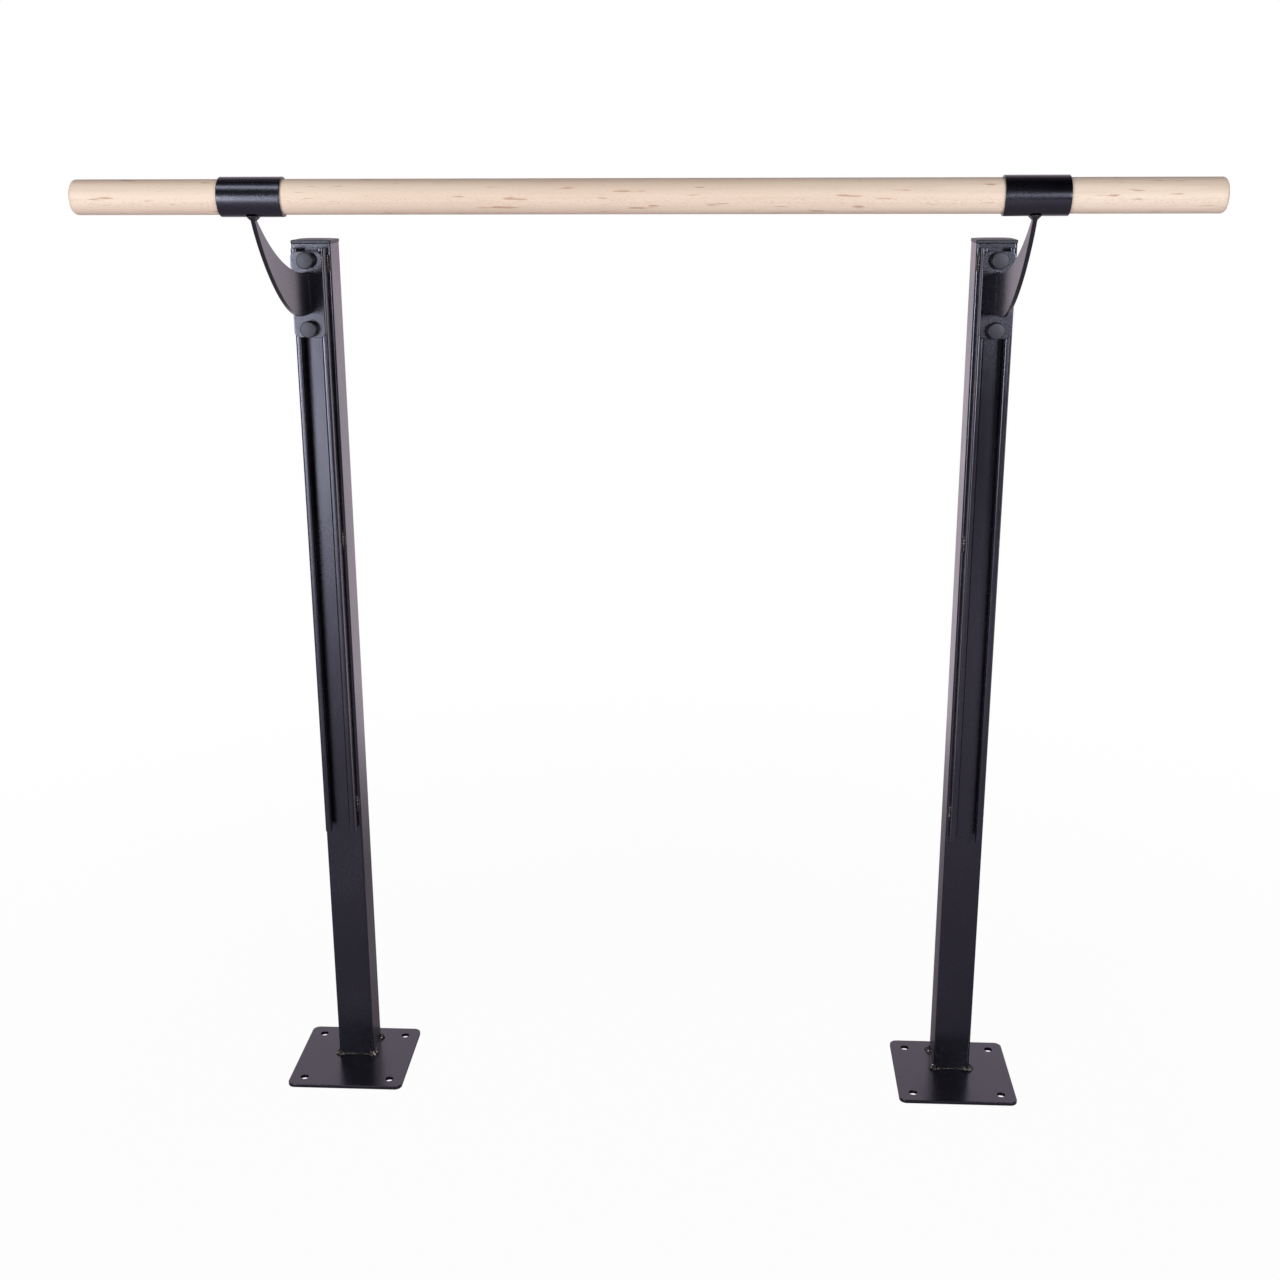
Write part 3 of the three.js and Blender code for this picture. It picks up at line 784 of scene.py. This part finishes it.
def collar(side):
    """A ring: out along one end, over the outside, back along the other end and through the
    bore, with a quarter circle at each outer edge."""
    low, high, middle = measured(f"rail_collar_{side}")
    radius = (high[2] - low[2]) / 2
    rail_low, rail_high, _ = measured("handrail")
    bore = (rail_high[2] - rail_low[2]) / 2 + COLLAR_GAP
    half = (high[0] - low[0]) / 2
    end = arc((radius - COLLAR_EDGE, half - COLLAR_EDGE), COLLAR_EDGE, 90, 0, 6)
    near = [(bore, half - BORE_EDGE), (bore + BORE_EDGE, half), *end,
            (radius, half - 3 * COLLAR_EDGE)]
    profile = near + [(r, -a) for r, a in reversed(near)]
    points = turned(profile, middle, "x", 128)
    faces = grid_faces(*points.shape[:2], closed_rows=True)
    return new_piece(f"rail_collar_tube_{side}", points, faces)


on_both_posts(collar, "rail_collar", coat)

# %% [markdown]
# ## Clamp bolts and their caps
# Under each round cap sits a hexagon bolt on a washer. The hexagon's corners are turned off by
# a shallow cone, which is what gives a real bolt head its curved facets, and the thread is a
# ridge that climbs one pitch in each turn. Both are radii that depend on angle and height, so
# the same turning function makes them.

# %% Bolt caps
CAP_WALL = 0.7 * MM
CAP_ROOF = 2 * MM
CAP_CROWN = 0.35 * MM
CAP_RIM = 1.3 * MM        # radius of the rounded rim


def bolt_cap(place, side):
    """A cup that opens towards the plate: crowned face, rounded rim, slightly tapered skirt."""
    low, high, middle = measured(f"bolt_cap_{place}_{side}")
    radius = (high[0] - low[0]) / 2
    face, mouth, inner = low[1], high[1], radius - CAP_RIM
    profile = [(inner * s, face + CAP_CROWN * s * s) for s in np.linspace(0, 1, 7)]
    rim = arc((inner, -face - CAP_CROWN - CAP_RIM), CAP_RIM, 90, 0, 7)
    profile += [(r, -a) for r, a in rim[1:]]
    profile += [(radius, mouth - 0.3 * MM), (radius - 0.25 * MM, mouth),
                (radius - CAP_WALL, mouth), (radius - CAP_WALL, face + CAP_ROOF),
                (0.0, face + CAP_ROOF)]
    points = turned(profile, (middle[0], 0.0, middle[2]), "y", 96)
    return new_piece(f"round_cap_{place}_{side}", points, grid_faces(*points.shape[:2]))


PLACES = ("lower", "upper")
for side in SIDES:
    for place in PLACES:
        cup = stand_for(bolt_cap(place, side), f"bolt_cap_{place}_{side}", plastic)
print("each bolt cap has", len(cup.data.polygons), "faces")

# %% Clamp bolts and washers
HEX_FLATS = 16 * MM
HEX_HEIGHT = 6.4 * MM
SHANK_RADIUS = 5 * MM
THREAD_PITCH = 1.5 * MM
THREAD_DEPTH = 0.75 * MM


def hexagon(flats, angle):
    """Distance from the middle to a hexagon's side: half the flats over the cosine of the
    angle to the nearest flat's middle."""
    nearest = (angle + np.pi / 6) % (np.pi / 3) - np.pi / 6
    return flats / 2 / np.cos(nearest)


def clamp_bolt(place, side, turns_divided=96):
    """Head: the hexagon, cut by a cone near its face. Shank: a plain cylinder cut by a helical
    groove whose depth is a triangle wave of height minus angle."""
    low, high, middle = measured(f"clamp_bolt_{place}_{side}")
    angle = np.linspace(0, 2 * np.pi, turns_divided, endpoint=False)
    hexed = hexagon(HEX_FLATS, angle)
    face, seat, tip = low[1], low[1] + HEX_HEIGHT, high[1]
    profile = [(0.0, face), (HEX_FLATS * 0.42, face), (HEX_FLATS * 0.46, face + 0.05 * MM)]
    for drop in (0.0, 0.3, 0.6, 0.9, 1.3, 1.8):
        cone = HEX_FLATS * 0.475 + drop * MM * 1.73
        profile.append((np.minimum(hexed, cone), face + 0.12 * MM + drop * MM))
    profile += [(hexed, seat - 0.4 * MM), (np.minimum(hexed, HEX_FLATS * 0.5), seat)]
    heights = np.linspace(seat, tip, 150)
    wave = np.abs(((heights[:, None] / THREAD_PITCH - angle / (2 * np.pi)) % 1) * 2 - 1)
    radii = SHANK_RADIUS - THREAD_DEPTH * wave
    radii = np.minimum(radii, SHANK_RADIUS - 0.9 * MM + np.abs(tip - heights)[:, None])
    profile += [(SHANK_RADIUS + 0.4 * MM, seat), *zip(radii, heights), (0.0, tip)]
    points = turned(profile, (middle[0], 0.0, middle[2]), "y", turns_divided)
    return new_piece(f"hexagon_bolt_{place}_{side}", points, grid_faces(*points.shape[:2]))


def washer(place, side):
    """A stamped ring: rounded on the side of the punch, crisp on the other."""
    low, high, middle = measured(f"washer_{place}_{side}")
    radius, bore, ease = (high[0] - low[0]) / 2, 5.3 * MM, 0.25 * MM
    profile = [(bore, low[1] + ease), (bore + ease, low[1]), (radius - 2 * ease, low[1]),
               (radius - 0.6 * ease, low[1] + 0.6 * ease), (radius, low[1] + 2 * ease),
               (radius, high[1]), (bore, high[1])]
    points = turned(profile, (middle[0], 0.0, middle[2]), "y", 72)
    return new_piece(f"stamped_washer_{place}_{side}", points,
                     grid_faces(*points.shape[:2], closed_rows=True))


for side in SIDES:
    for place in PLACES:
        bolt = stand_for(clamp_bolt(place, side), f"clamp_bolt_{place}_{side}", zinc)
        stand_for(washer(place, side), f"washer_{place}_{side}", zinc)
print("each bolt has", len(bolt.data.polygons), "faces")

# %% [markdown]
# The channel nuts are plain blocks with two milled grooves, and the frame's shape is already
# right. A merged copy gets eased edges from a Bevel modifier: nothing more would be seen through
# the track's open end.

# %% Channel nuts
def eased_copy(node, name, width):
    """A copy of a frame node with its loose triangles merged into flat faces, and a Bevel."""
    piece = frame["nodes"][node].copy()
    piece.data = piece.data.copy()
    piece.name = piece.data.name = name
    piece.parent = None
    piece.data.materials.clear()
    for key in [k for k in piece.keys() if k.startswith("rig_")]:
        del piece[key]
    bpy.context.scene.collection.objects.link(piece)
    shape = bmesh.new()
    shape.from_mesh(piece.data)
    bmesh.ops.remove_doubles(shape, verts=shape.verts, dist=1e-6)
    bmesh.ops.dissolve_limit(shape, angle_limit=np.radians(1), verts=shape.verts, edges=shape.edges)
    shape.to_mesh(piece.data)
    shape.free()
    piece.data.shade_smooth()
    piece.data.set_sharp_from_angle(angle=np.radians(40))
    return ease_edges(piece, width)


for side in SIDES:
    for place in PLACES:
        node = f"channel_nut_{place}_{side}"
        nut = stand_for(eased_copy(node, f"grooved_nut_{place}_{side}", SAWN_EASE), node, zinc)
print("each nut copy has", len(nut.data.polygons), "faces")

# %% Rail screws
SCREW_RADIUS = 2 * MM
SOCKET_FLATS = 2.6 * MM


def rail_screw(side, divisions=48):
    """A pan head with a hexagon socket, on a plain shank that tapers to its point."""
    low, high, middle = measured(f"rail_screw_{side}")
    angle = np.linspace(0, 2 * np.pi, divisions, endpoint=False)
    socket = hexagon(SOCKET_FLATS, angle)
    top, tip = high[1], low[1]
    head = (high[0] - low[0]) / 2
    seat = top - 2.6 * MM
    profile = [(0.0, tip), (SCREW_RADIUS, tip + 3 * MM), (SCREW_RADIUS, seat),
               (head - 0.2 * MM, seat), (head, seat + 0.3 * MM)]
    profile += [(head * np.cos(a), seat + 0.9 * MM + 1.7 * MM * np.sin(a))
                for a in np.linspace(0, 1.1, 7)]
    profile += [(socket + 0.25 * MM, top), (socket, top - 0.2 * MM), (socket, top - 1.6 * MM),
                (0.0, top - 2.0 * MM)]
    points = turned(profile, (middle[0], 0.0, middle[2]), "y", divisions)
    return new_piece(f"socket_screw_{side}", points, grid_faces(*points.shape[:2]))


on_both_posts(rail_screw, "rail_screw", zinc)

# %% [markdown]
# ## Welds
# A fillet weld fills the corner between two walls. Its section is a curve swung from one wall to
# the other, and its size ripples along the seam as the welder's hand moved on. So a bead
# is a grid too: points along the corner line, times angles between the two walls, closed
# through the corner. A fullness of 1 gives a round bead and 0 a flat one.

# %% Beads
def bead_points(line, wall_a, wall_b, size, fullness=0.7, divisions=9, sunk=0.4 * MM):
    """Rows along the corner line. In each, the bead's skin runs from wall a to wall b at a
    distance `size` from the corner, flattened by the sum |cos| + |sin|, and closes
    through a point sunk a little behind the corner."""
    angle = np.linspace(0, np.pi / 2, divisions)
    swing = np.stack([np.cos(angle), np.sin(angle)], -1)
    flatten = (np.abs(swing).sum(1)) ** (fullness - 1.0)
    reach = size[:, None] * flatten[None, :]
    skin = (line[:, None, :] + reach[..., None] * (swing[None, :, :1] * wall_a[:, None, :]
            + swing[None, :, 1:] * wall_b[:, None, :]))
    root = (line - sunk * (wall_a + wall_b))[:, None, :]
    return np.concatenate([skin, root], axis=1)


def ring_bead(line, heights, up, size, fullness, sunk=0.4 * MM):
    """A bead round a closed flat line that is lifted to `heights`. Wall a is the line's outward
    direction, which is the way ahead turned by a right angle, and wall b points up or down."""
    ahead = np.roll(line, -1, 0) - np.roll(line, 1, 0)
    outward = np.stack([ahead[:, 1], -ahead[:, 0]], -1)
    outward /= np.linalg.norm(outward, axis=1, keepdims=True)
    wall_a = np.column_stack([outward, np.zeros(len(line))])
    wall_b = np.tile([0.0, 0.0, up], (len(line), 1))
    corner = np.column_stack([line, heights])
    return bead_points(corner, wall_a, wall_b, size, fullness, 9, sunk)


def ripple(distance, pitch, seed):
    """An uneven rhythm between -1 and 1: three waves whose lengths don't divide each other."""
    phase = 2 * np.pi * distance / pitch
    return (np.sin(phase + seed) * 0.55 + np.sin(phase * 0.377 + 2.1 * seed) * 0.3
            + np.sin(phase * 1.73 + 0.7 * seed) * 0.15)


print("ripple at the start of a seam:", round(float(ripple(np.zeros(1), 1.0, 1.0)[0]), 3))

# %% [markdown]
# The posts were tacked to their base plates at the corners, with lumps of metal a few
# millimetres high, and only a thin run joins them along the sides.

# %% Foot welds
LUMP = 4.6 * MM           # added at the post's corners
LUMP_WIDTH = 5.5 * MM
RUN = 1.0 * MM            # along the sides, and what the unsteady hand adds to it
RUN_MORE = 1.3 * MM


def foot_weld(side, number):
    """The corner line is the post's own outline at the plate's top face. The size is a thin
    run plus a bell curve round each corner, roughened by two ripples."""
    low, high, middle = measured(f"post_{side}")
    half = (high[0] - low[0]) / 2
    outline = rounded_rectangle(half, half, TUBE_CORNER, 7)
    line = evenly(np.concatenate([outline, outline[:1]]), 481)[:-1]
    step = np.linalg.norm(np.roll(line, -1, 0) - np.roll(line, 1, 0), axis=1).mean() / 2
    travelled = np.arange(len(line)) * step
    from_corner = (half - TUBE_CORNER / 2) - np.min(np.abs(line), axis=1)
    lump = LUMP * np.exp(-(from_corner / LUMP_WIDTH) ** 2)
    run = RUN + RUN_MORE * np.clip(ripple(travelled, 31 * MM, 2.0 * number + 0.4), 0, 1)
    rough = (1 + 0.30 * ripple(travelled, 3.1 * MM, 1.3 + number)
             + 0.16 * ripple(travelled, 1.3 * MM, number))
    heights = np.full(len(line), low[2])
    points = ring_bead(line + middle[:2], heights, 1.0, (run + lump) * rough, 0.45)
    faces = grid_faces(*points.shape[:2], closed_rows=True)
    return new_piece(f"foot_bead_{side}", points, faces, 180)


for number, side in enumerate(SIDES):
    bead = stand_for(foot_weld(side, number + 1), f"post_foot_weld_{side}", burnt_weld)
    print(bead.name, len(bead.data.polygons), "faces")

# %% [markdown]
# The track is stitched to the post with short beads, three on each side. Each swells from
# nothing and fades again, like half an ellipse.

# %% Track welds
STITCH = 4.1 * MM


def straight_bead(name, start, end, wall_a, wall_b, size, pitch, seed,
                  fullness=0.8, blunt=2.0, rows=61):
    """A bead along a straight corner. Its size follows (1 - |t| to a power), so it closes at
    both ends, and the power says how blunt they are."""
    t = np.linspace(-1, 1, rows)
    line = start + (end - start) * ((t + 1) / 2)[:, None]
    length = np.linalg.norm(end - start)
    envelope = (1 - np.abs(t) ** blunt) ** 0.5
    sizes = size * envelope * (1 + 0.07 * ripple((t + 1) / 2 * length, pitch, seed))
    a, b = (np.tile(np.asarray(w, float), (rows, 1)) for w in (wall_a, wall_b))
    points = bead_points(line, a, b, sizes, fullness)
    points[0] = points[0].mean(0)
    points[-1] = points[-1].mean(0)
    return new_piece(name, points, grid_faces(*points.shape[:2]), 180)


def stitch(node, side, seed):
    """Between the track's side wall and the post's front face."""
    low, high, middle = measured(node)
    post_middle = measured(f"post_{side}")[2]
    track_low, track_high, _ = measured(f"track_{side}")
    outward = np.sign(middle[0] - post_middle[0])
    wall = track_high[0] if outward > 0 else track_low[0]
    start, end = (np.array([wall, track_high[1], z]) for z in (low[2], high[2]))
    return straight_bead("stitch_" + node, start, end, (outward, 0, 0), (0, -1, 0),
                         STITCH, 2.4 * MM, seed)


count = 0
for side in SIDES:
    for level in ("lower", "middle", "upper"):
        for edge in ("outer", "inner"):
            count += 1
            node = f"track_weld_{level}_{edge}_{side}"
            stand_for(stitch(node, side, count), node, weld)
print(count, "stitch welds")

# %% Arm welds
FOOT_FILLET = 1.0 * MM
TIP_FILLET = 4.0 * MM


def arm_foot_weld(side, edge):
    """A fine fillet from the clamp plate's face up the arm's side."""
    node = f"arm_foot_weld_{edge}_{side}"
    low, high, middle = measured(node)
    arm_low, arm_high, arm_middle = measured(f"bracket_arm_{side}")
    outward = np.sign(middle[0] - arm_middle[0])
    wall = arm_high[0] if outward > 0 else arm_low[0]
    front = measured(f"bracket_plate_{side}")[0][1]
    start, end = (np.array([wall, front, z]) for z in (low[2], high[2]))
    return straight_bead("fillet_" + node, start, end, (outward, 0, 0), (0, -1, 0),
                         FOOT_FILLET, 3.2 * MM, 2.0 + outward, 0.3, 12.0)


def tip_weld(side, number):
    """The corner line runs round the arm's tip where it meets the collar: the tip's outline,
    lifted onto the collar's underside by the circle's equation."""
    low, high, middle = measured(f"bracket_arm_{side}")
    _, _, rail = measured("handrail")
    collar_low, collar_high, _ = measured(f"rail_collar_{side}")
    radius = (collar_high[2] - collar_low[2]) / 2
    half_thick = (high[0] - low[0]) / 2
    outline = rounded_rectangle(half_thick, ARM_TIP / 2, 1 * MM, 6)
    line = evenly(np.concatenate([outline, outline]), 481)[:240]
    heights = rail[2] - np.sqrt(radius ** 2 - line[:, 1] ** 2)
    travelled = np.linspace(0, 40 * MM, len(line))
    size = TIP_FILLET * (1 + 0.10 * ripple(travelled, 5 * MM, number))
    points = ring_bead(line + [middle[0], rail[1]], heights, -1.0, size, 0.15, -0.1 * MM)
    half_chord = np.sqrt(np.maximum(radius ** 2 - (points[..., 1] - rail[1]) ** 2, 0))
    points[..., 2] = np.minimum(points[..., 2], rail[2] - half_chord + 0.3 * MM)
    faces = grid_faces(*points.shape[:2], closed_rows=True)
    return new_piece(f"tip_bead_{side}", points, faces, 180)


for number, side in enumerate(SIDES):
    stand_for(tip_weld(side, number + 1.0), f"arm_tip_weld_{side}", weld)
    for edge in ("outer", "inner"):
        stand_for(arm_foot_weld(side, edge), f"arm_foot_weld_{edge}_{side}", coat)
print("arms welded")

# %% [markdown]
# ## Floor, light and camera
# The floor is one wide disc, and it is two things at once. The camera sees it as white as the
# surround, so no horizon shows. The steel is nearly black and shows what it mirrors, so for
# every other ray the floor is a matt grey in front of the barre, and behind it a sweep that
# glows like a lit paper sheet: its pale pinkish light lies on the posts' side faces down to the
# plates. Two soft boxes stand in front, one to each side: they draw the bright band along the
# collars and the sheen at the top of the posts. A low panel in front lights the lower posts, and
# a panel overhead the tops of rail and plates.

# %% Floor
FLOOR_RADIUS = 9.0
FLOOR_DROP = 0.05 * MM
SWEEP_START, SWEEP_FULL = 0.4, 1.6    # metres behind the origin


def floor():
    """Rings of growing radius, so that the disc is one grid round its middle. A flat sheet has
    no outside, so its faces are turned up by hand."""
    rings = np.linspace(0, 1, 12) ** 1.5 * FLOOR_RADIUS
    angle = np.linspace(0, 2 * np.pi, 96, endpoint=False)
    points = rings[:, None, None] * np.stack([np.cos(angle), np.sin(angle), 0 * angle], -1)
    points[..., 2] = -FLOOR_DROP
    piece = new_piece("studio_floor", points, grid_faces(*points.shape[:2]))
    flip = bmesh.new()
    flip.from_mesh(piece.data)
    for face in flip.faces:
        if face.normal.z < 0:
            face.normal_flip()
    flip.to_mesh(piece.data)
    flip.free()
    return piece


def floor_finish():
    material, nodes, shader, where = new_finish("pale floor")
    shader.inputs["Base Color"].default_value = (0.48, 0.43, 0.47, 1.0)
    shader.inputs["Roughness"].default_value = 0.9
    shader.inputs["Specular IOR Level"].default_value = 0.1
    distance = nodes.add("VectorMath", {0: where}, operation="LENGTH").outputs["Value"]
    far = nodes.spread(distance, 0.97, 1.0, 0.7, 2.0)
    seen = nodes.add("LightPath").outputs["Is Camera Ray"]
    glow = nodes.add("Emission", {"Color": WHITE, "Strength": 1.0})
    depth = nodes.add("SeparateXYZ", {"Vector": where}).outputs["Y"]
    strength = nodes.spread(depth, 0.0, SURROUND_BEHIND, SWEEP_START, SWEEP_FULL)
    sweep = nodes.add("Emission", {"Color": PINKISH_WHITE, "Strength": strength})
    lies_behind = nodes.spread(depth, 0.0, 1.0, SWEEP_START, SWEEP_FULL)
    mirrored = nodes.math("MULTIPLY", lies_behind, nodes.math("SUBTRACT", 1.0, seen))
    lit = nodes.mix(mirrored, shader, sweep)
    both = nodes.mix(nodes.math("MULTIPLY", far, seen), lit, glow)
    output = next(n for n in nodes.tree.nodes if n.type == "OUTPUT_MATERIAL")
    nodes.tree.links.new(both.outputs[0], output.inputs["Surface"])
    return material


ground = floor()
ground.data.materials.append(floor_finish())
print("floor radius", FLOOR_RADIUS, "m")

# %% Lights
def soft_box(name, place, aim, width, height, watts):
    """A rectangular light at `place` whose face looks at `aim`."""
    lamp = bpy.data.lights.new(name, "AREA")
    lamp.shape = "RECTANGLE"
    lamp.size, lamp.size_y = width, height
    lamp.energy = watts
    lamp.color = (0.93, 0.96, 1.0)
    box = bpy.data.objects.new(name, lamp)
    bpy.context.scene.collection.objects.link(box)
    place, aim = np.array(place), np.array(aim)
    back = (place - aim) / np.linalg.norm(place - aim)
    across = np.cross([0.0, 0.0, 1.0] if abs(back[2]) < 0.99 else [0.0, 1.0, 0.0], back)
    across /= np.linalg.norm(across)
    up = np.cross(back, across)
    turn = Matrix(np.column_stack([across, up, back]).tolist())
    box.matrix_world = Matrix.Translation(place.tolist()) @ turn.to_4x4()
    return box


LIGHTS = (    # name, place, aim, width, height, watts
    ("front left box", (-2.00, -2.92, 0.96), (-0.425, 0.0, 0.90), 1.05, 1.10, 92),
    ("front right box", (1.90, -2.98, 1.36), (0.425, 0.0, 1.10), 1.1, 0.7, 96),
    ("low front panel", (-1.22, -3.12, 0.10), (-0.425, 0.0, 0.70), 1.0, 0.9, 12),
    ("overhead panel", (-0.90, -1.20, 2.80), (-0.1, 0.0, 1.1), 1.4, 0.5, 12),
)
for light in LIGHTS:
    soft_box(*light)
print(len(LIGHTS), "soft lights")

# %% Camera
CAMERA_PLACE = (0.0993, -2.0028, 1.2481)
CAMERA_TURN = 3.04       # degrees to the left of straight ahead
CAMERA_DIP = 16.34       # degrees below the horizon
CAMERA_ROLL = 0.18       # degrees, right side down
LENS = 46.55              # focal length in millimetres

lens = bpy.data.cameras.new("camera")
lens.lens = LENS
lens.sensor_width = 36.0
camera = bpy.data.objects.new("camera", lens)
bpy.context.scene.collection.objects.link(camera)
camera.location = CAMERA_PLACE
camera.rotation_euler = np.radians([90 - CAMERA_DIP, CAMERA_ROLL, CAMERA_TURN])
bpy.context.scene.camera = camera
print("camera at", CAMERA_PLACE, "lens", LENS, "mm")

# %% The last update
bpy.context.view_layer.update()
